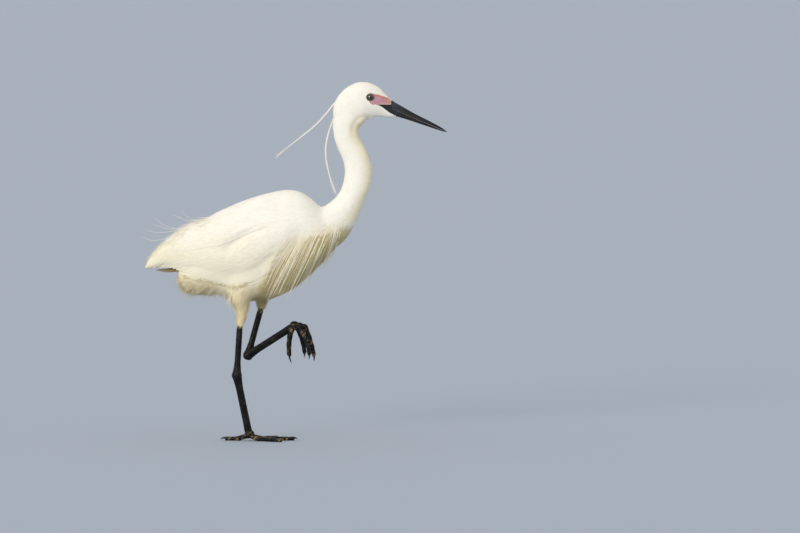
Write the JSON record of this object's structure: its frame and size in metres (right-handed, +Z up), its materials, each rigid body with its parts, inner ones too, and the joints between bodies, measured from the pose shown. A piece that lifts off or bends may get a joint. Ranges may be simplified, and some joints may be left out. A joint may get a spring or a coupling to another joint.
{
  "type": "model wading bird",
  "caption": "Life-size still model of a small white heron stepping forward: slim S-bent neck, long black spear-shaped bill, loose plumes, one black leg planted and one raised",
  "frame": {"origin": "on the floor, under the middle of the model's bounding box", "axes": "+X the way the bird faces, +Y its left side, +Z up"},
  "size_m": [0.423, 0.1116, 0.5028],
  "materials": {
    "plumage": "soft white feathers with a cream shade",
    "bill": "black horn with a low sheen",
    "eyes": "dark wet gloss",
    "legs": "black scaled skin",
    "toes": "dark olive-brown scaled skin",
    "claws": "black horn"
  },
  "bodies": {
    "root": {"torso": "plumage", "neck_lower": "plumage", "neck_upper": "plumage", "head": "plumage", "wing_right": "plumage", "wing_left": "plumage", "tail": "plumage", "thigh_right": "plumage", "thigh_left": "plumage", "bill_upper": "bill", "bill_lower": "bill", "eye_right": "eyes", "eye_left": "eyes", "tibia_right": "legs", "tarsus_right": "legs", "foot_right": "toes", "claw_right_hind": "claws", "claw_right_inner": "claws", "claw_right_middle": "claws", "claw_right_outer": "claws", "tibia_left": "legs", "tarsus_left": "legs", "foot_left": "toes", "claw_left_hind": "claws", "claw_left_inner": "claws", "claw_left_middle": "claws", "claw_left_outer": "claws"}
  },
  "joints": []
}
